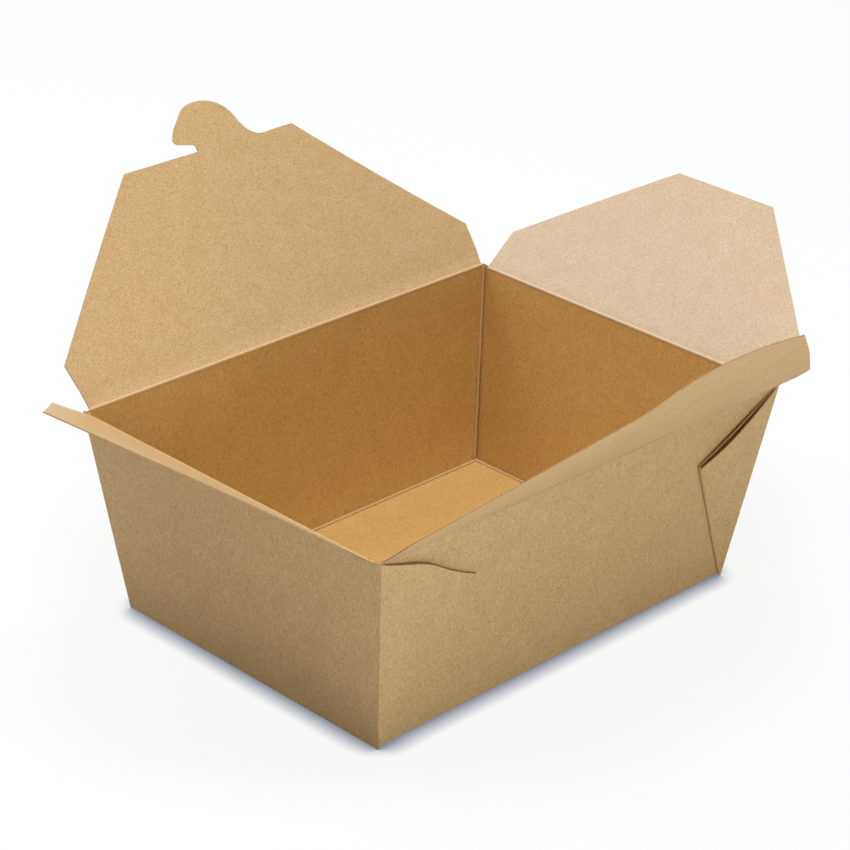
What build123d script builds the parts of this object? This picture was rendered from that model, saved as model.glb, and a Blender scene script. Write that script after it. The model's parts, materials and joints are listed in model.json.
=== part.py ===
from build123d import *

import os
from math import acos, cos, degrees, hypot, radians, sin

# Folded kraft paperboard takeaway box: a tapered tray with gusseted corners, and four lid flaps on creases.
# Units are millimetres. X runs along the long side, Z is up, and the origin is the middle of the floor's underside.

# Tray, measured to the middle of the board at its folds.
base_length = 197.0
base_width = 139.0
rim_length = 222.0
rim_width = 162.0
rim_height = 87.0

# Board and its folds.
board = 0.5
layer_gap = 0.1  # air between the gusset's layers and the wall
fold_radius = 0.32  # bead of a single crease
side_crease_drop = 1.0  # the side flaps' creases lie lower, so that they close under the long flaps

# Flaps, measured from their creases.
flap_gap = 0.8  # crease axis to the start of the flap's board
corner_inset = 2.0  # flap's root starts this far from the rim's corner
side_flap_clearance = 1.0  # between a closed side flap's edges and the long walls
long_flap_height = 84.8
long_flap_shoulder = 19.4
long_flap_top = 91.2  # length of the free edge
side_flap_height = 75.4
side_flap_shoulder = 20.2
side_flap_top = 51.4

# Locking hook on the one long flap, and the slit that takes it in the other.
hook_height = 20.4
hook_neck_left = -6.2
hook_barb_reach = 9.8
hook_shoulder_right = 30.3
slit_from_edge = 9.0
slit_length = 34.0
slit_width = 0.8
slit_end_drop = 4.0

# How far each flap stands open, above the horizontal, and which way it closes.
hook_flap_open = 50.0
slit_flap_open = 45.0
right_flap_open = 34.4
left_flap_open = 33.5

half_board = board / 2
half_base = Vector(base_length / 2, base_width / 2, half_board)
half_rim = Vector(rim_length / 2, rim_width / 2, rim_height)
rise = rim_height - half_board
corner_edge = half_rim - half_base
corner_edge_length = corner_edge.length

long_slant = hypot(rise, half_rim.Y - half_base.Y)
side_slant = hypot(rise, half_rim.X - half_base.X)
side_crease_share = 1 - side_crease_drop / rise
side_crease_x = half_base.X + side_crease_share * (half_rim.X - half_base.X)
side_crease_y = half_base.Y + side_crease_share * (half_rim.Y - half_base.Y)
side_crease_z = rim_height - side_crease_drop

front_up = Vector(0, half_base.Y - half_rim.Y, rise).normalized()
front_out = Vector(1, 0, 0).cross(front_up)
front_wall_plane = Plane(origin=(0, -half_base.Y, half_board), x_dir=(1, 0, 0), z_dir=front_out)
right_up = Vector(half_rim.X - half_base.X, 0, rise).normalized()
right_out = Vector(0, 1, 0).cross(right_up)
right_wall_plane = Plane(origin=(half_base.X, 0, half_board), x_dir=(0, 1, 0), z_dir=right_out)

# The gusset fills the angle that the two walls' sides leave in the flat sheet, folded in half along its bisector.
long_wall_flare = degrees(acos(long_slant / corner_edge_length))
side_wall_flare = degrees(acos(side_slant / corner_edge_length))
gusset_half_angle = (90 - long_wall_flare - side_wall_flare) / 2
gusset_fold_length = corner_edge_length * cos(radians(gusset_half_angle))
gusset_lean = radians(gusset_half_angle - long_wall_flare)
gusset_tip = (
    half_base.X - gusset_fold_length * sin(gusset_lean),
    gusset_fold_length * cos(gusset_lean),
)
layer_pitch = board + layer_gap
outer_layer_offset = 2 * layer_pitch
double_fold_radius = board + layer_gap / 2 + 0.01


def wall_point(plane, along, up, out=0.0):
    """A point given in a wall's own plane, along it, up its slope and outwards."""
    return plane.from_local_coords(Vector(along, up, out))


# ---------------------------------------------------------------- tray
with BuildPart() as tray:
    with BuildSketch(Plane.XY):
        Rectangle(base_length, base_width)
    extrude(amount=board)

    # Long wall, with a bead on its crease at the rim.
    with BuildSketch(front_wall_plane.offset(-half_board)):
        with BuildLine():
            Polyline(
                (-half_base.X, 0),
                (half_base.X, 0),
                (half_rim.X, long_slant),
                (-half_rim.X, long_slant),
                close=True,
            )
        make_face()
    front_wall = extrude(amount=board)

    # Side wall. It runs past the long wall's side, out to the gusset's outer layer.
    side_crease_up = side_slant * side_crease_share
    with BuildSketch(right_wall_plane.offset(-half_board)):
        with BuildLine():
            Polyline(
                (-half_base.Y - outer_layer_offset, 0),
                (half_base.Y + outer_layer_offset, 0),
                (side_crease_y + outer_layer_offset, side_crease_up),
                (-side_crease_y - outer_layer_offset, side_crease_up),
                close=True,
            )
        make_face()
    right_wall = extrude(amount=board)

    # Gusset at the front right corner: two layers folded flat on the outside of the long wall.
    gusset_corners = [(half_base.X, 0), (half_rim.X, long_slant), gusset_tip]
    gusset_layers = []
    for layer in (1, 2):
        with BuildSketch(front_wall_plane.offset(layer * layer_pitch - half_board)):
            with BuildLine():
                Polyline(*gusset_corners, close=True)
            make_face()
        gusset_layers.append(extrude(amount=board))

    # Beads of the folds: floor to walls, wall to gusset, the gusset's own fold, gusset to side wall, and the rim.
    front_left_base = wall_point(front_wall_plane, -half_base.X, 0)
    front_right_base = wall_point(front_wall_plane, half_base.X, 0)
    back_right_base = Vector(half_base.X, half_base.Y, half_board)
    root_x = half_rim.X - corner_inset
    root_y = side_crease_y - corner_inset
    single_folds = [
        (front_left_base, front_right_base),
        (front_right_base, back_right_base),
        (
            wall_point(front_wall_plane, half_base.X, 0, outer_layer_offset),
            wall_point(front_wall_plane, half_rim.X, long_slant, outer_layer_offset),
        ),
        (Vector(-root_x, -half_rim.Y, rim_height), Vector(root_x, -half_rim.Y, rim_height)),
        (Vector(side_crease_x, -root_y, side_crease_z), Vector(side_crease_x, root_y, side_crease_z)),
    ]
    double_folds = [
        (
            wall_point(front_wall_plane, half_base.X, 0, layer_pitch / 2),
            wall_point(front_wall_plane, half_rim.X, long_slant, layer_pitch / 2),
        ),
        (
            wall_point(front_wall_plane, half_base.X, 0, layer_pitch * 3 / 2),
            wall_point(front_wall_plane, *gusset_tip, layer_pitch * 3 / 2),
        ),
    ]
    beads = []
    for folds, radius in ((single_folds, fold_radius), (double_folds, double_fold_radius)):
        for start, end in folds:
            with BuildSketch(Plane(origin=start, z_dir=end - start)):
                Circle(radius)
            beads.append(extrude(amount=(end - start).length))

    # The other corners are the same, mirrored.
    quarter = [right_wall, *gusset_layers, *beads]
    left_half = mirror(quarter, about=Plane.YZ)
    mirror([front_wall, *quarter, *left_half.solids()], about=Plane.XZ)

    # Beads stop level with the floor's underside.
    split(bisect_by=Plane.XY, keep=Keep.TOP)

tray.part.label = "tray"


# ---------------------------------------------------------------- flaps
def flap_plane(crease_point, along, outwards, open_angle):
    """The plane of a flap that stands open: X along its crease, Y towards its free edge."""
    reach = Vector(*outwards) * cos(radians(open_angle)) + Vector(0, 0, sin(radians(open_angle)))
    return Plane(origin=crease_point, x_dir=along, z_dir=Vector(*along).cross(reach))


def flap_side(half_root, half_shoulder, shoulder, half_top, height):
    """Points up a flap's right side, from its root to its free edge."""
    return [(half_root, flap_gap), (half_shoulder, shoulder), (half_top, height)]


back_flap_plane = flap_plane((0, half_rim.Y, rim_height), (-1, 0, 0), (0, 1, 0), hook_flap_open)
front_flap_plane = flap_plane((0, -half_rim.Y, rim_height), (1, 0, 0), (0, -1, 0), slit_flap_open)
right_flap_plane = flap_plane((side_crease_x, 0, side_crease_z), (0, 1, 0), (1, 0, 0), right_flap_open)
left_flap_plane = flap_plane((-side_crease_x, 0, side_crease_z), (0, -1, 0), (-1, 0, 0), left_flap_open)

long_side = flap_side(root_x, half_rim.X, long_flap_shoulder, long_flap_top / 2, long_flap_height)
long_side_left = [(-x, y) for x, y in reversed(long_side)]

# Long flap with the locking hook. X runs towards the left side as seen from inside the box, so its sign is turned.
edge = long_flap_height
crown = edge + hook_height
with BuildPart() as hook_flap:
    with BuildSketch(back_flap_plane.offset(-half_board)):
        with BuildLine():
            Polyline(*long_side_left[1:], *long_side)
            Line(long_side[-1], (-hook_neck_left, edge))
            # Notch under the barb, then round the barb.
            neck_x = -hook_neck_left
            barb_x = neck_x + hook_barb_reach
            Line((neck_x, edge), (neck_x, edge + 1.8))
            Spline(
                (neck_x, edge + 1.8),
                (neck_x + 2.2, edge + 3.6),
                (neck_x + 7.0, edge + 4.8),
                (barb_x - 0.8, edge + 5.6),
                (barb_x, edge + 7.0),
                (barb_x - 0.7, edge + 8.6),
                tangents=[(0, 1), (-0.45, 1)],
            )
            # Round head and the long hollow back down to the free edge.
            Spline(
                (barb_x - 0.7, edge + 8.6),
                (neck_x + 3.8, edge + 14.6),
                (neck_x - 1.0, edge + 18.8),
                (neck_x - 8.2, crown),
                (neck_x - 16.5, edge + 18.8),
                (neck_x - 23.4, edge + 13.2),
                (neck_x - 28.4, edge + 3.4),
                (neck_x - 32.0, edge + 0.6),
                (-hook_shoulder_right - 6.0, edge),
                tangents=[(-0.45, 1), (-1, 0)],
            )
            Line((-hook_shoulder_right - 6.0, edge), long_side_left[0])
            Line(long_side_left[0], long_side_left[1])
        make_face()
    extrude(amount=board)
hook_flap.part.label = "hook_flap"

# Long flap with the slit. The slit is a knife cut with both ends turned towards the crease.
with BuildPart() as slit_flap:
    with BuildSketch(front_flap_plane.offset(-half_board)):
        with BuildLine():
            Polyline(*long_side_left, *long_side, close=True)
        make_face()
        slit_y = long_flap_height - slit_from_edge
        with BuildLine() as slit_line:
            FilletPolyline(
                (-slit_length / 2, slit_y - slit_end_drop),
                (-slit_length / 2, slit_y),
                (slit_length / 2, slit_y),
                (slit_length / 2, slit_y - slit_end_drop),
                radius=slit_end_drop * 0.75,
            )
        offset(slit_line.line, amount=slit_width / 2, mode=Mode.SUBTRACT)
    extrude(amount=board)
slit_flap.part.label = "slit_flap"

side_half_width = side_crease_y - side_flap_clearance
side_side = flap_side(root_y, side_half_width, side_flap_shoulder, side_flap_top / 2, side_flap_height)
side_side_left = [(-x, y) for x, y in reversed(side_side)]

with BuildPart() as right_side_flap:
    with BuildSketch(right_flap_plane.offset(-half_board)):
        with BuildLine():
            Polyline(*side_side_left, *side_side, close=True)
        make_face()
    extrude(amount=board)
right_side_flap.part.label = "right_side_flap"

with BuildPart() as left_side_flap:
    with BuildSketch(left_flap_plane.offset(-half_board)):
        with BuildLine():
            Polyline(*side_side_left, *side_side, close=True)
        make_face()
    extrude(amount=board)
left_side_flap.part.label = "left_side_flap"


# ---------------------------------------------------------------- files
os.makedirs("parts", exist_ok=True)
export_step(tray.part, "parts/tray.step")
export_step(hook_flap.part, "parts/hook_flap.step")
export_step(slit_flap.part, "parts/slit_flap.step")
export_step(right_side_flap.part, "parts/right_side_flap.step")
export_step(left_side_flap.part, "parts/left_side_flap.step")
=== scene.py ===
"""A kraft paperboard takeaway box, standing open: tray, gussets, four flaps, studio, light and camera."""

import json
from math import atan2, cos, exp, hypot, pi, radians, sin

import bmesh
import bpy
from mathutils import Matrix, Vector


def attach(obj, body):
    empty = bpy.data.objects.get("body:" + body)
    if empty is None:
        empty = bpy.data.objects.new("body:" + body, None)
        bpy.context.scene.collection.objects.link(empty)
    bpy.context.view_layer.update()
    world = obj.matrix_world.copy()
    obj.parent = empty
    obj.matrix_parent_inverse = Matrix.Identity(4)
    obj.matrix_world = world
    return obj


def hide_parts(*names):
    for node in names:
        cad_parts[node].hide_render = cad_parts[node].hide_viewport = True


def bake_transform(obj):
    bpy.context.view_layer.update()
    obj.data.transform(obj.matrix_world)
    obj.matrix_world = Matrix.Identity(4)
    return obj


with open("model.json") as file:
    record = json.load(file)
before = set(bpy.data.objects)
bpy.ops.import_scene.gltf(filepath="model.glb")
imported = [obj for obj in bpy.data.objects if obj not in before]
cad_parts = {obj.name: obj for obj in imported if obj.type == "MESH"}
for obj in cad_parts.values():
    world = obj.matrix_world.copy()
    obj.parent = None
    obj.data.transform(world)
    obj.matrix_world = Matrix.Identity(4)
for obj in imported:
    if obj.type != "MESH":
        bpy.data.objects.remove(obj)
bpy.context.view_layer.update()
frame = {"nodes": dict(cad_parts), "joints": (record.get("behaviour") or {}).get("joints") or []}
bpy.ops.object.select_all(action="DESELECT")
mm = 0.001

# ---------------------------------------------------------------- kraft board
# One sheet of solid unbleached kraft, pale long fibres in a darker pulp. The outside is left bare,
# the inside has a thin barrier coat that warms the colour, and the cut edges are a little darker.
# Along the creases the colour is lightened: a painted highlight on the crease beads.
kraft = bpy.data.node_groups.new("kraft_fibres", "ShaderNodeTree")
for socket, kind, value in (
    ("Pulp", "NodeSocketColor", (0.5, 0.3, 0.12, 1)),
    ("Fibre", "NodeSocketColor", (0.7, 0.5, 0.3, 1)),
    ("Speck", "NodeSocketColor", (0.2, 0.1, 0.05, 1)),
):
    kraft.interface.new_socket(socket, in_out="INPUT", socket_type=kind).default_value = value
kraft.interface.new_socket("Color", in_out="OUTPUT", socket_type="NodeSocketColor")
kraft.interface.new_socket("Relief", in_out="OUTPUT", socket_type="NodeSocketFloat")
kraft.interface.new_socket("Dullness", in_out="OUTPUT", socket_type="NodeSocketFloat")


def noise(tree, position, stretch, scale, detail):
    """Cloudy noise over the board, drawn out along the grain."""
    mapping = tree.nodes.new("ShaderNodeMapping")
    mapping.inputs["Scale"].default_value = stretch
    texture = tree.nodes.new("ShaderNodeTexNoise")
    texture.inputs["Scale"].default_value = scale
    texture.inputs["Detail"].default_value = detail
    texture.inputs["Roughness"].default_value = 0.6
    tree.links.new(position, mapping.inputs["Vector"])
    tree.links.new(mapping.outputs["Vector"], texture.inputs["Vector"])
    return texture.outputs["Fac"]


def spread(tree, value, low, high, out_low=0.0, out_high=1.0):
    """Stretches the part of a value between two levels over a new range."""
    node = tree.nodes.new("ShaderNodeMapRange")
    for name, level in (("From Min", low), ("From Max", high), ("To Min", out_low), ("To Max", out_high)):
        node.inputs[name].default_value = level
    tree.links.new(value, node.inputs["Value"])
    return node.outputs["Result"]


def mix(tree, amount, first, second):
    """Mixes two colours by a mask."""
    node = tree.nodes.new("ShaderNodeMix")
    node.data_type = "RGBA"
    tree.links.new(amount, node.inputs["Factor"])
    tree.links.new(first, node.inputs[6])
    tree.links.new(second, node.inputs[7])
    return node.outputs[2]


group_in = kraft.nodes.new("NodeGroupInput")
group_out = kraft.nodes.new("NodeGroupOutput")
place = kraft.nodes.new("ShaderNodeTexCoord").outputs["Object"]
cloud = noise(kraft, place, (1, 1, 0.7), 110, 3)
fibre = noise(kraft, place, (1, 1, 0.5), 1700, 3)
strand = noise(kraft, place, (1, 1, 0.4), 760, 3)
speck = noise(kraft, place, (1, 1, 0.7), 900, 1)
fibre_mask = spread(kraft, fibre, 0.34, 0.67)
strand_mask = spread(kraft, strand, 0.46, 0.74, 0.0, 0.5)
cloud_mask = spread(kraft, cloud, 0.3, 0.7, 0.0, 0.3)
speck_mask = spread(kraft, speck, 0.68, 0.8, 0.0, 0.6)
coloured = mix(kraft, fibre_mask, group_in.outputs["Pulp"], group_in.outputs["Fibre"])
coloured = mix(kraft, strand_mask, coloured, group_in.outputs["Fibre"])
coloured = mix(kraft, cloud_mask, coloured, group_in.outputs["Pulp"])
coloured = mix(kraft, speck_mask, coloured, group_in.outputs["Speck"])
kraft.links.new(coloured, group_out.inputs["Color"])
kraft.links.new(fibre, group_out.inputs["Relief"])
kraft.links.new(spread(kraft, strand, 0.3, 0.7), group_out.inputs["Dullness"])


bump_depth = 0.12 * mm
bump_strength = 0.18
# How much paler the painted crease highlight is than the fibre colour.
highlight_lightening = 1.25
roughness_swing = 0.06


def board_material(name, pulp, fibre_colour, speck_colour, roughness, gloss, crease_highlight=1.0):
    """Board whose fibres show, with its own colours and sheen. Its creases carry a painted highlight, a
    paler fibre colour.
    """
    material = bpy.data.materials.new(name)
    material.use_nodes = True
    tree = material.node_tree
    shader = tree.nodes["Principled BSDF"]
    fibres = tree.nodes.new("ShaderNodeGroup")
    fibres.node_tree = kraft
    fibres.inputs["Pulp"].default_value = (*pulp, 1)
    fibres.inputs["Fibre"].default_value = (*fibre_colour, 1)
    fibres.inputs["Speck"].default_value = (*speck_colour, 1)
    bump = tree.nodes.new("ShaderNodeBump")
    bump.inputs["Strength"].default_value = bump_strength
    bump.inputs["Distance"].default_value = bump_depth
    tree.links.new(fibres.outputs["Relief"], bump.inputs["Height"])
    # Painted highlight: the crease attribute lightens the colour towards a paler fibre colour along the
    # bead.
    crease_mask = tree.nodes.new("ShaderNodeAttribute")
    crease_mask.attribute_name = "crease"
    pale = tree.nodes.new("ShaderNodeRGB")
    pale.outputs["Color"].default_value = (
        *(min(1, highlight_lightening * level) for level in fibre_colour),
        1,
    )
    highlight_amount = spread(tree, crease_mask.outputs["Fac"], 0, 1, 0, crease_highlight)
    colour = mix(tree, highlight_amount, fibres.outputs["Color"], pale.outputs["Color"])
    tree.links.new(colour, shader.inputs["Base Color"])
    smoothest, dullest = roughness - roughness_swing, roughness + roughness_swing
    dullness = spread(tree, fibres.outputs["Dullness"], 0, 1, smoothest, dullest)
    tree.links.new(dullness, shader.inputs["Roughness"])
    tree.links.new(bump.outputs["Normal"], shader.inputs["Normal"])
    shader.inputs["Specular IOR Level"].default_value = gloss
    return material


bare_outside = board_material(
    "kraft_outside", (0.43, 0.28, 0.118), (0.645, 0.455, 0.215), (0.20, 0.12, 0.05), 0.78, 0.25, 0.15
)
# The coated inside as it shows down in the tray, deeper and more saturated where the walls shade it.
coated_inside = board_material(
    "kraft_inside", (0.50, 0.275, 0.072), (0.69, 0.45, 0.165), (0.24, 0.12, 0.035), 0.47, 0.5
)
# Above the rim the coated side is paler than down in the tray, most of all on the right side flap: lit
# copies of the same board, painted light against the deeper colour kept for the shaded tray.
lit_inside = board_material(
    "kraft_inside_lit", (0.455, 0.275, 0.10), (0.67, 0.475, 0.245), (0.24, 0.13, 0.05), 0.45, 0.5
)
# Paler still and greyer, for the right side flap: a painted sheen, the glare off its coated face put into
# its colour.
glare_inside = board_material(
    "kraft_inside_glare", (0.40, 0.27, 0.135), (0.60, 0.47, 0.315), (0.24, 0.15, 0.08), 0.43, 0.55
)
cut_edge = board_material(
    "kraft_cut_edge", (0.36, 0.22, 0.105), (0.46, 0.30, 0.16), (0.2, 0.12, 0.06), 0.85, 0.15
)

# ---------------------------------------------------------------- floor and long walls
# The middle of the blank, half-millimetre board: the floor, and the two long walls that fold up
# from it. The walls stop at the flaps' creases, and only their corners run on to the full height.
creases = {joint["child"]: Vector(joint["pos_m"]) for joint in frame["joints"]}
board = 0.5 * mm
base_x, base_y = 98.5 * mm, 69.5 * mm
rim_x, rim_y = 111 * mm, creases["hook_flap"].y
rim_z = creases["hook_flap"].z
rise = rim_z - board / 2
long_slant = hypot(rise, rim_y - base_y)
long_lean = atan2(rim_y - base_y, rise)
corner_inset = 2 * mm
crease_reach = 0.8 * mm
floor_bend = 0.7 * mm
long_belly = 0.7 * mm
hair = 0.01 * mm


def long_point(side, along, up, out=0.0):
    """A point on a long wall: along it, up its slope and outwards from it."""
    y = base_y + up * sin(long_lean) + out * cos(long_lean)
    return Vector((along, side * y, board / 2 + up * cos(long_lean) - out * sin(long_lean)))


def add_sheet(name, corners, outwards):
    """A four-cornered sheet of board, with its corners in order and its outer face turned outwards."""
    bpy.ops.object.select_all(action="DESELECT")
    bpy.ops.mesh.primitive_plane_add(size=1)
    sheet = bpy.context.object
    sheet.name = sheet.data.name = name
    for number, corner in zip(sheet.data.polygons[0].vertices, corners):
        sheet.data.vertices[number].co = corner
    sheet.data.update()
    if sheet.data.polygons[0].normal.dot(Vector(outwards)) < 0:
        bpy.ops.object.mode_set(mode="EDIT")
        bpy.ops.mesh.flip_normals()
        bpy.ops.object.mode_set(mode="OBJECT")
    return sheet


def carry_on(sheet, start, end, new_start, new_end):
    """Extrudes the edge between two points to two new points. An end that stays put is closed up."""
    bpy.ops.object.mode_set(mode="EDIT")
    mesh = bmesh.from_edit_mesh(sheet.data)
    for element in (*mesh.faces, *mesh.edges, *mesh.verts):
        element.select = False
    ends = [min(mesh.verts, key=lambda vertex: (vertex.co - point).length) for point in (start, end)]
    edge = next(edge for edge in ends[0].link_edges if ends[1] in edge.verts)
    edge.select_set(True)
    bmesh.update_edit_mesh(sheet.data)
    bpy.ops.mesh.extrude_region_move()
    mesh = bmesh.from_edit_mesh(sheet.data)
    for vertex in [vertex for vertex in mesh.verts if vertex.select]:
        near_start = (vertex.co - start).length < (vertex.co - end).length
        vertex.co = new_start if near_start else new_end
    bmesh.update_edit_mesh(sheet.data)
    bpy.ops.mesh.select_all(action="SELECT")
    bpy.ops.mesh.remove_doubles(threshold=hair)
    bpy.ops.object.mode_set(mode="OBJECT")


def slice_sheet(sheet, point, normal):
    """Cuts a sheet's faces along a plane, and keeps both sides."""
    bpy.ops.object.mode_set(mode="EDIT")
    bpy.ops.mesh.select_all(action="SELECT")
    bpy.ops.mesh.bisect(plane_co=point, plane_no=normal)
    bpy.ops.object.mode_set(mode="OBJECT")


def delete_faces(sheet, unwanted):
    """Deletes the faces whose centres pass a test."""
    bpy.ops.object.mode_set(mode="EDIT")
    bpy.ops.mesh.select_mode(type="FACE")
    bpy.ops.mesh.select_all(action="DESELECT")
    mesh = bmesh.from_edit_mesh(sheet.data)
    for face in mesh.faces:
        if unwanted(face.calc_center_median()):
            face.select_set(True)
    bmesh.update_edit_mesh(sheet.data)
    bpy.ops.mesh.delete(type="FACE")
    bpy.ops.mesh.select_mode(type="VERT")
    bpy.ops.object.mode_set(mode="OBJECT")


def finish_board(sheet, inside=coated_inside):
    """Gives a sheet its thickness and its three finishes."""
    sheet.data.materials.clear()
    for material in (bare_outside, inside, cut_edge):
        sheet.data.materials.append(material)
    bpy.context.view_layer.objects.active = sheet
    sheet.select_set(True)
    thickness = sheet.modifiers.new("thickness", "SOLIDIFY")
    thickness.thickness = board
    thickness.offset = 0
    thickness.use_even_offset = False
    thickness.material_offset = 1
    thickness.material_offset_rim = 2
    bpy.ops.object.modifier_apply(modifier=thickness.name)
    bpy.ops.object.shade_smooth_by_angle(angle=radians(35))


middle = add_sheet(
    "floor_and_long_walls",
    [Vector((x * base_x, y * base_y, board / 2)) for x, y in ((-1, -1), (1, -1), (1, 1), (-1, 1))],
    (0, 0, -1),
)
for side in (-1, 1):
    start, end = long_point(side, -base_x, 0), long_point(side, base_x, 0)
    carry_on(middle, start, end, long_point(side, -rim_x, long_slant), long_point(side, rim_x, long_slant))
bpy.ops.object.mode_set(mode="EDIT")
bpy.ops.mesh.select_all(action="DESELECT")
mesh = bmesh.from_edit_mesh(middle.data)
for edge in mesh.edges:
    if len(edge.link_faces) == 2:
        edge.select_set(True)
bmesh.update_edit_mesh(middle.data)
bpy.ops.mesh.bevel(offset=floor_bend, segments=3)
bpy.ops.object.mode_set(mode="OBJECT")
for side in (-1, 1):
    up = long_point(side, 0, 1) - long_point(side, 0, 0)
    slice_sheet(middle, long_point(side, 0, long_slant - crease_reach), up)
root_x = rim_x - corner_inset
wall_top = long_point(1, 0, long_slant - crease_reach).z
for x in (-root_x, root_x, -0.5 * base_x, 0, 0.5 * base_x):
    slice_sheet(middle, (x, 0, 0), (1, 0, 0))
for z in (20 * mm, 40 * mm, 60 * mm):
    slice_sheet(middle, (0, 0, z), (0, 0, 1))
delete_faces(middle, lambda centre: centre.z > wall_top + hair and abs(centre.x) < root_x)

# The walls belly out a little between their folds.
for vertex in middle.data.vertices:
    if vertex.co.z > 2 * mm:
        height = vertex.co.z / rim_z
        belly = long_belly * sin(pi * height) * cos(pi / 2 * vertex.co.x / rim_x)
        vertex.co.y += belly if vertex.co.y > 0 else -belly
finish_board(middle)
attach(middle, "tray")

# ---------------------------------------------------------------- side walls and gussets
# Each side wall runs past the long walls, turns the corner, and folds back on itself as a gusset:
# two layers of board lying against the long wall, whose mouths gape a little under the rim.
side_slant = hypot(rise, rim_x - base_x)
side_lean = atan2(rim_x - base_x, rise)
side_belly = 0.6 * mm
layer_pitch = board + 0.1 * mm
fold_steps = 4
corner_length = Vector((rim_x - base_x, rim_y - base_y, rise)).length
gusset_angle = (pi / 2 - atan2(rim_x - base_x, long_slant) - atan2(rim_y - base_y, side_slant)) / 2
gusset_fold = corner_length * cos(gusset_angle)
corner_tilt = atan2(rim_x - base_x, long_slant)
tip_x = base_x - gusset_fold * sin(gusset_angle - corner_tilt)
tip_up = gusset_fold * cos(gusset_angle - corner_tilt)
side_share = (creases["right_side_flap"].z - board / 2) / rise
side_rim_y = base_y + side_share * (rim_y - base_y)
fold_inward = Vector((-cos(gusset_angle - corner_tilt), -sin(gusset_angle - corner_tilt)))


def side_point(side, along, up):
    """A point on a side wall: along it and up its slope."""
    x = base_x + up * sin(side_lean)
    return Vector((side * x, along, board / 2 + up * cos(side_lean)))


# How far each gusset's mouth gapes at its middle and its tip, how its top edge is kinked, and how
# far its tip has crept along and up the wall.
gussets = {
    (1, -1): (2.1 * mm, 0.9 * mm, 0.0, 3.5 * mm, 2.8 * mm),
    (-1, -1): (0.95 * mm, 0.3 * mm, 2.9 * mm, -5.2 * mm, 2.2 * mm),
    (1, 1): (1.0 * mm, 0.4 * mm, 0.0, -0.6 * mm, 0.8 * mm),
    (-1, 1): (0.8 * mm, 0.4 * mm, 0.0, 0.5 * mm, 1.2 * mm),
}
# The inner layer gapes less than the outer. A kink lies this far across its gusset, and begins
# this far up it.
inner_share = 0.35
kink_place, kink_foot = 0.42, 0.75
for x_side, wall_name in ((1, "side_wall_right"), (-1, "side_wall_left")):
    outer = 2 * layer_pitch
    corners = [
        long_point(y_side, x_side * edge_x, up, outer)
        for y_side, edge_x, up in (
            (-1, base_x, 0),
            (1, base_x, 0),
            (1, rim_x, long_slant),
            (-1, rim_x, long_slant),
        )
    ]
    wall = add_sheet(wall_name, corners, (x_side, 0, 0))
    for y_side in (-1, 1):
        creep_along, creep_up = gussets[(x_side, y_side)][3:]
        end_x, end_up = tip_x + creep_along, tip_up + creep_up

        def web(along, up, out):
            return long_point(y_side, x_side * along, up, out)

        base, rim = web(base_x, 0, outer), web(rim_x, long_slant, outer)
        carry_on(wall, base, rim, base, web(end_x, end_up, outer))
        here = [(base_x, 0, outer), (end_x, end_up, outer)]
        for step in range(1, fold_steps + 1):
            turn = pi * step / fold_steps
            out = outer - layer_pitch / 2 + layer_pitch / 2 * cos(turn)
            bulge = fold_inward * (layer_pitch / 2 * sin(turn))
            there = [(x + bulge.x, up + bulge.y, out) for x, up in ((base_x, 0), (end_x, end_up))]
            carry_on(wall, *(web(*point) for point in here), *(web(*point) for point in there))
            here = there
        carry_on(wall, *(web(*point) for point in here), web(*here[0]), web(rim_x, long_slant, layer_pitch))
    bpy.context.view_layer.objects.active = wall
    for x in (20, 35, 50, 65, 75, 85, 95, 103):
        slice_sheet(wall, (x_side * x * mm, 0, 0), (1, 0, 0))
    for z in (15, 30, 45, 60, 70, 78, 83):
        slice_sheet(wall, (0, 0, z * mm), (0, 0, 1))
    root_y = side_rim_y - corner_inset
    for y in (-root_y, -40 * mm, 0, 40 * mm, root_y):
        slice_sheet(wall, (0, y, 0), (0, 1, 0))
    up = side_point(x_side, 0, 1) - side_point(x_side, 0, 0)
    side_top = side_slant * side_share - crease_reach
    slice_sheet(wall, side_point(x_side, 0, side_top), up)
    side_top_z = side_point(x_side, 0, side_top).z
    delete_faces(wall, lambda centre: centre.z > side_top_z + hair and abs(centre.y) < root_y)

    # Belly the wall, and open the gussets' mouths.
    for vertex in wall.data.vertices:
        place = vertex.co.copy()
        y_side = 1 if place.y > 0 else -1
        height = place.z - board / 2
        up = height * cos(long_lean) + (abs(place.y) - base_y) * sin(long_lean)
        out = (abs(place.y) - base_y) * cos(long_lean) - height * sin(long_lean)
        edge_x = base_x + (rim_x - base_x) * up / long_slant
        inboard = edge_x - abs(place.x)
        if out > 0.3 * mm and inboard > 0.3 * mm and up > 1 * mm:
            reach = hypot(abs(place.x) - base_x, up)
            angle = atan2(abs(place.x) - base_x, up)
            across = min(1, max(0, (corner_tilt - angle) / gusset_angle))
            along = reach * cos(gusset_angle * (1 - across)) / gusset_fold
            gape, tip_gape, kink = gussets[(x_side, y_side)][:3]
            layer = min(1, max(inner_share, (out - layer_pitch) / layer_pitch))
            lift = layer * (gape * sin(pi * across) * along**4 + tip_gape * across * along**2)
            kinked = max(0, 1 - abs(across - kink_place) / kink_place)
            rise_by = kink * kinked * max(0, along - kink_foot) / (1 - kink_foot)
            vertex.co += long_point(y_side, 0, rise_by, lift) - long_point(y_side, 0, 0)
        elif inboard < 0.2 * mm and place.z > 2 * mm:
            belly = side_belly * sin(pi * place.z / rim_z) * cos(pi / 2 * place.y / rim_y)
            vertex.co.x += belly * x_side
    finish_board(wall)
    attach(wall, "tray")

# ---------------------------------------------------------------- beads of the creases
# Board folded along a score swells into a fine ridge inside the fold. One runs round the floor,
# and one up each corner, where the long wall's end turns back into the gusset.
floor_ridge = 0.75 * mm
corner_ridge = 0.7 * mm
inset = 1.45 * mm
floor_top = board / 2 + 0.35 * mm
corner_signs = ((-1, -1), (1, -1), (1, 1), (-1, 1))


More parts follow.
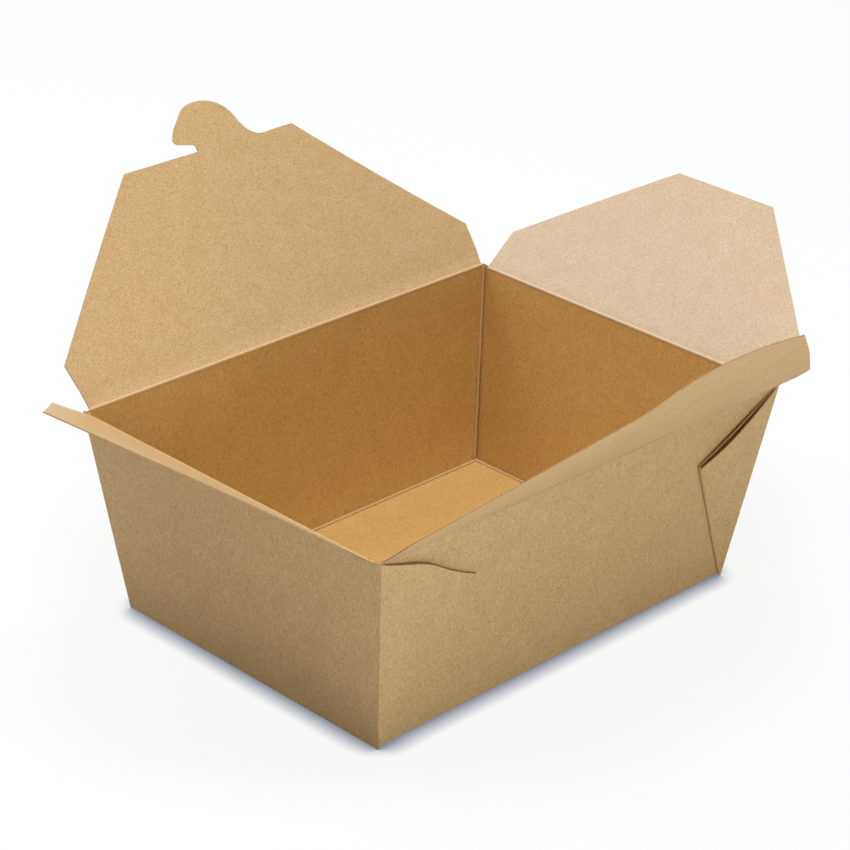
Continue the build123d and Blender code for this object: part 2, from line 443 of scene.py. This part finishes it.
def add_ridge(name, start, end, radius):
    """A round ridge of board between two points."""
    bpy.ops.object.select_all(action="DESELECT")
    run = end - start
    bpy.ops.mesh.primitive_cylinder_add(
        vertices=12,
        radius=radius,
        depth=run.length,
        end_fill_type="TRIFAN",
        location=(start + end) / 2,
        rotation=run.to_track_quat("Z", "Y").to_euler(),
    )
    piece = bpy.context.object
    piece.name = piece.data.name = name
    bpy.ops.object.mode_set(mode="EDIT")
    bpy.ops.mesh.select_all(action="SELECT")
    bpy.ops.mesh.bisect(plane_co=(start + end) / 2, plane_no=run.normalized())
    bpy.ops.object.mode_set(mode="OBJECT")
    bpy.ops.object.transform_apply(location=True, rotation=True, scale=True)
    bpy.ops.object.shade_smooth_by_angle(angle=radians(50))
    # The ridges take the lit copy of the inside board: a painted highlight along the beads against the
    # shaded tray.
    piece.data.materials.append(lit_inside)
    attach(piece, "tray")


floor_corners = [Vector((x * (base_x - inset), y * (base_y - inset), floor_top)) for x, y in corner_signs]
for number, (start, end) in enumerate(zip(floor_corners, floor_corners[1:] + floor_corners[:1])):
    add_ridge(f"floor_crease_{number + 1}", start, end, floor_ridge)
for number, (x, y) in enumerate(corner_signs):
    foot = Vector((x * (base_x - 1.5 * mm), y * (base_y - 0.6 * mm), 1.4 * mm))
    head = Vector((x * (rim_x - 1.25 * mm), y * (rim_y - 0.6 * mm), rim_z - 0.8 * mm))
    add_ridge(f"corner_fold_{number + 1}", foot, head, corner_ridge)

# ---------------------------------------------------------------- flaps
# The four lid flaps are the same sheet carried on over its creases at the rim. Their outlines are
# the die-cut ones; each has sprung into its own slight curl since it was folded back.
bend_steps = 6
flap_rows = 14
half_columns = 9
bead_swell = 0.45 * mm
bead_reach = 0.79 * mm
# Strength of the painted highlight along each crease bead.
bead_highlight = 0.7


def add_flap(node, name, curl, inside):
    """A flap of board that takes its outline from the frame, bends over its crease, and curls."""
    crease = creases[node]
    source = frame["nodes"][node]
    flap = bpy.data.objects.new(name, source.data.copy())
    bpy.context.scene.collection.objects.link(flap)
    bpy.ops.object.select_all(action="DESELECT")
    flap.select_set(True)
    bpy.context.view_layer.objects.active = flap

    # The flap's own directions: along its crease, towards its free edge, and out of its outer face.
    outwards = Vector((crease.x, crease.y, 0)).normalized()
    along = Vector((0, 0, 1)).cross(outwards)
    top = max(source.data.vertices, key=lambda vertex: vertex.co.z).co
    reach = (top - crease) - along * (top - crease).dot(along)
    reach.normalize()
    outer_face = along.cross(reach)
    if outer_face.z > 0:
        outer_face = -outer_face
    wall_up = Vector((outwards.x * sin(side_lean), outwards.y * sin(long_lean), 0))
    wall_up.z = cos(side_lean if abs(outwards.x) > 0.5 else long_lean)

    # Keep one face of the solid as a thin sheet on the middle of the board.
    bpy.ops.object.mode_set(mode="EDIT")
    bpy.ops.mesh.select_all(action="SELECT")
    bpy.ops.mesh.remove_doubles(threshold=0.001 * mm)
    bpy.ops.mesh.select_all(action="DESELECT")
    bpy.ops.mesh.select_mode(type="FACE")
    mesh = bmesh.from_edit_mesh(flap.data)
    for face in mesh.faces:
        face.normal_update()
        if face.normal.dot(outer_face) < 0.99:
            face.select_set(True)
    bmesh.update_edit_mesh(flap.data)
    bpy.ops.mesh.delete(type="FACE")
    bpy.ops.mesh.select_all(action="SELECT")
    bpy.ops.mesh.dissolve_limited(angle_limit=radians(2))
    bpy.ops.mesh.select_mode(type="VERT")
    bpy.ops.object.mode_set(mode="OBJECT")
    for vertex in flap.data.vertices:
        vertex.co -= outer_face * (vertex.co - crease).dot(outer_face)

    # Divide it so that it can curl.
    height = max((vertex.co - crease).dot(reach) for vertex in flap.data.vertices)
    width = max((vertex.co - crease).dot(along) for vertex in flap.data.vertices)
    for number in range(1, flap_rows):
        slice_sheet(flap, crease + reach * height * number / flap_rows, reach)
    for number in range(1 - half_columns, half_columns):
        slice_sheet(flap, crease + along * width * number / half_columns, along)

    # Carry the root on over the crease, down to the top of the wall.
    control = [crease + reach * crease_reach, crease, crease - wall_up * crease_reach]
    for step in range(1, bend_steps + 1):
        before, after = (
            control[0] * (1 - share) ** 2 + control[1] * 2 * share * (1 - share) + control[2] * share**2
            for share in ((step - 1) / bend_steps, step / bend_steps)
        )
        bpy.ops.object.mode_set(mode="EDIT")
        bpy.ops.mesh.select_all(action="DESELECT")
        mesh = bmesh.from_edit_mesh(flap.data)
        for edge in mesh.edges:
            offsets = [vertex.co - before for vertex in edge.verts]
            if all((offset - along * offset.dot(along)).length < 0.03 * mm for offset in offsets):
                edge.select_set(True)
        bmesh.update_edit_mesh(flap.data)
        bpy.ops.mesh.extrude_region_move(TRANSFORM_OT_translate={"value": after - before})
        bpy.ops.object.mode_set(mode="OBJECT")

    # Curl it, and swell the crease into a bead on the inside, which carries a painted highlight.
    highlit = flap.data.attributes.new("crease", "FLOAT", "POINT")
    for vertex in flap.data.vertices:
        offset = vertex.co - crease
        across, up = offset.dot(along), offset.dot(reach)
        if up > crease_reach:
            vertex.co -= outer_face * curl(across, up - crease_reach)
        bead = max(0, 1 - (offset - along * across).length / bead_reach)
        highlit.data[vertex.index].value = bead_highlight * bead**0.5
        vertex.co -= outer_face * bead_swell * bead
    finish_board(flap, inside)
    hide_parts(node)
    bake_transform(flap)


def hook_curl(across, up):
    """The hook flap bows back at mid-height, and its two ends turn in."""
    bow, turn_in = 1.2 * mm, 0.8 * mm
    return -bow * sin(pi * up / (85 * mm)) + turn_in * (across / rim_x) ** 2


def slit_curl(across, up):
    """The slit flap lies back at its crease, and turns up again to an arched free edge."""
    slackness = (2.1 + 0.9 * max(-1, min(1, across / (60 * mm)))) * mm
    lie_back = -slackness * (1 - exp(-up / (9 * mm)))
    edge_lift = 3.7 * mm * (1 - ((across - 11 * mm) / (45 * mm)) ** 2)
    share = max(0, up - 12 * mm) / (72 * mm)
    return lie_back + (max(edge_lift, -1.6 * mm) + slackness) * share


def right_curl(across, up):
    """The right side flap is nearly flat: it leans in a little, with a slight hollow."""
    lean_in, hollow, length = 1.4 * mm, 0.6 * mm, 75 * mm
    return lean_in * up / length + hollow * sin(pi * up / length) * cos(pi / 2 * across / (80 * mm))


def left_curl(across, up):
    """The left side flap is twisted: its back end lies lower than its front end."""
    return up * sin(radians(0.5 + 2.8 * across / (80 * mm)))


# The flaps take the lit copies of the inside board, painted light; the right side flap's copy also carries
# a painted sheen.
add_flap("hook_flap", "hook_flap_board", hook_curl, lit_inside)
add_flap("slit_flap", "slit_flap_board", slit_curl, lit_inside)
add_flap("right_side_flap", "right_flap_board", right_curl, glare_inside)
add_flap("left_side_flap", "left_flap_board", left_curl, lit_inside)
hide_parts("tray")

# ---------------------------------------------------------------- studio floor
# A seamless white sweep. It shows as plain white, and keeps a soft shadow under the box, which is
# deepened close to it.
bpy.ops.object.select_all(action="DESELECT")
bpy.ops.mesh.primitive_plane_add(size=6, location=(0, 0, -0.05 * mm))
floor = bpy.context.object
floor.name = "studio_floor"
white = bpy.data.materials.new("white_sweep")
white.use_nodes = True
tree = white.node_tree
shader = tree.nodes["Principled BSDF"]
shader.inputs["Base Color"].default_value = (0.84, 0.86, 0.89, 1)
shader.inputs["Roughness"].default_value = 0.95
shader.inputs["Specular IOR Level"].default_value = 0.0
glow = tree.nodes.new("ShaderNodeEmission")
contact = tree.nodes.new("ShaderNodeAmbientOcclusion")
contact.samples = 16
contact.inputs["Distance"].default_value = 13 * mm
tone = tree.nodes.new("ShaderNodeValToRGB")
tone.color_ramp.elements[0].position = 0.42
tone.color_ramp.elements[0].color = (0.22, 0.25, 0.32, 1)
tone.color_ramp.elements[1].position = 0.86
tone.color_ramp.elements[1].color = (1, 1, 1, 1)
tree.links.new(contact.outputs["AO"], tone.inputs["Fac"])
tree.links.new(tone.outputs["Color"], glow.inputs["Color"])
rays = tree.nodes.new("ShaderNodeLightPath")
share = tree.nodes.new("ShaderNodeMath")
share.operation = "MULTIPLY"
share.inputs[1].default_value = 0.9
blend = tree.nodes.new("ShaderNodeMixShader")
tree.links.new(rays.outputs["Is Camera Ray"], share.inputs[0])
tree.links.new(share.outputs["Value"], blend.inputs["Fac"])
tree.links.new(shader.outputs["BSDF"], blend.inputs[1])
tree.links.new(glow.outputs["Emission"], blend.inputs[2])
tree.links.new(blend.outputs["Shader"], tree.nodes["Material Output"].inputs["Surface"])
floor.data.materials.append(white)

# ---------------------------------------------------------------- light
# Plain soft studio light: an even white surround that is seen as full white, one large soft lamp
# above, a weak one low in front, and one behind that gives the coated flaps their sheen.
world = bpy.data.worlds.new("studio")
bpy.context.scene.world = world
world.use_nodes = True
tree = world.node_tree
surround = tree.nodes["Background"]
surround.inputs["Color"].default_value = (1, 1, 1, 1)
surround.inputs["Strength"].default_value = 0.27
seen = tree.nodes.new("ShaderNodeBackground")
seen.inputs["Strength"].default_value = 1.0
seen.inputs["Color"].default_value = (1, 1, 1, 1)
rays = tree.nodes.new("ShaderNodeLightPath")
either = tree.nodes.new("ShaderNodeMath")
either.operation = "MAXIMUM"
either_more = tree.nodes.new("ShaderNodeMath")
either_more.operation = "MAXIMUM"
choose = tree.nodes.new("ShaderNodeMixShader")
tree.links.new(rays.outputs["Is Camera Ray"], either.inputs[0])
tree.links.new(rays.outputs["Is Glossy Ray"], either.inputs[1])
tree.links.new(either.outputs["Value"], either_more.inputs[0])
tree.links.new(rays.outputs["Is Transmission Ray"], either_more.inputs[1])
tree.links.new(either_more.outputs["Value"], choose.inputs["Fac"])
tree.links.new(surround.outputs["Background"], choose.inputs[1])
tree.links.new(seen.outputs["Background"], choose.inputs[2])
tree.links.new(choose.outputs["Shader"], tree.nodes["World Output"].inputs["Surface"])


def add_softbox(name, location, target, width, watts):
    """A square area lamp turned towards a point."""
    lamp = bpy.data.lights.new(name, "AREA")
    lamp.shape = "SQUARE"
    lamp.size = width
    lamp.energy = watts
    holder = bpy.data.objects.new(name, lamp)
    holder.location = location
    holder.rotation_euler = (Vector(target) - Vector(location)).to_track_quat("-Z", "Y").to_euler()
    bpy.context.scene.collection.objects.link(holder)


add_softbox("overhead_softbox", (-0.05, -0.1, 1.9), (0, 0, 0.05), 0.75, 25.5)
add_softbox("front_fill", (-0.32, -0.95, 0.14), (-0.05, 0, 0.06), 0.4, 3.8)
add_softbox("back_sheen", (-0.25, 0.75, 1.0), (0.05, 0, 0.1), 0.6, 5)

# ---------------------------------------------------------------- camera
# A long lens looking down over the near corner of the box, rolled two degrees.
view_place = Vector((-0.72995, -0.69964, 0.57271))
view_way = Vector((0.6449, 0.6237, -0.4418)).normalized()
view_roll = radians(2)
level = view_way.cross(Vector((0, 0, 1))).normalized()
upright = level.cross(view_way)
across = level * cos(view_roll) + upright * sin(view_roll)
upwards = upright * cos(view_roll) - level * sin(view_roll)
lens = bpy.data.cameras.new("camera")
lens.sensor_width = 36
lens.lens = 120.98
camera = bpy.data.objects.new("camera", lens)
bpy.context.scene.collection.objects.link(camera)
turn = Matrix((across, upwards, -view_way)).transposed()
camera.matrix_world = Matrix.Translation(view_place) @ turn.to_4x4()
bpy.context.scene.camera = camera
bpy.context.scene.view_settings.view_transform = "Standard"
